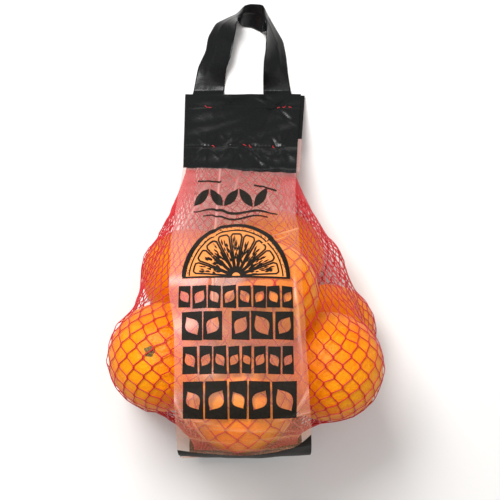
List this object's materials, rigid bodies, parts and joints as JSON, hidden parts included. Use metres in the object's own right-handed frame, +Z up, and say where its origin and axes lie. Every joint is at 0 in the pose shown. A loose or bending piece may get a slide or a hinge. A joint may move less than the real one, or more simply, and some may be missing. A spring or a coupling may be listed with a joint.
{
  "type": "net bag of oranges",
  "caption": "Knitted net bag of juice oranges, lying on its back, with a translucent label film, a black welded header and a folded ribbon carrying handle.",
  "frame": {"origin": "centre of the whole bag's box, on the surface it lies on", "axes": "+X across the bag, +Y from the bottom seam to the carrying handle, +Z up, out of the label"},
  "size_m": [0.2047, 0.3648, 0.1942],
  "materials": {
    "orange_rind": "waxy pored citrus rind",
    "red_net": "knitted polyethylene net, satin",
    "label_film": "frosted translucent polyethylene film",
    "black_film": "black polyethylene film, semi-gloss, creased",
    "print_ink": "black flexographic ink on film",
    "stem_end": "dry green-brown calyx"
  },
  "bodies": {
    "root": {"filled_net": "orange_rind", "front_film": "label_film", "back_film": "label_film", "handle": "black_film"}
  },
  "joints": []
}
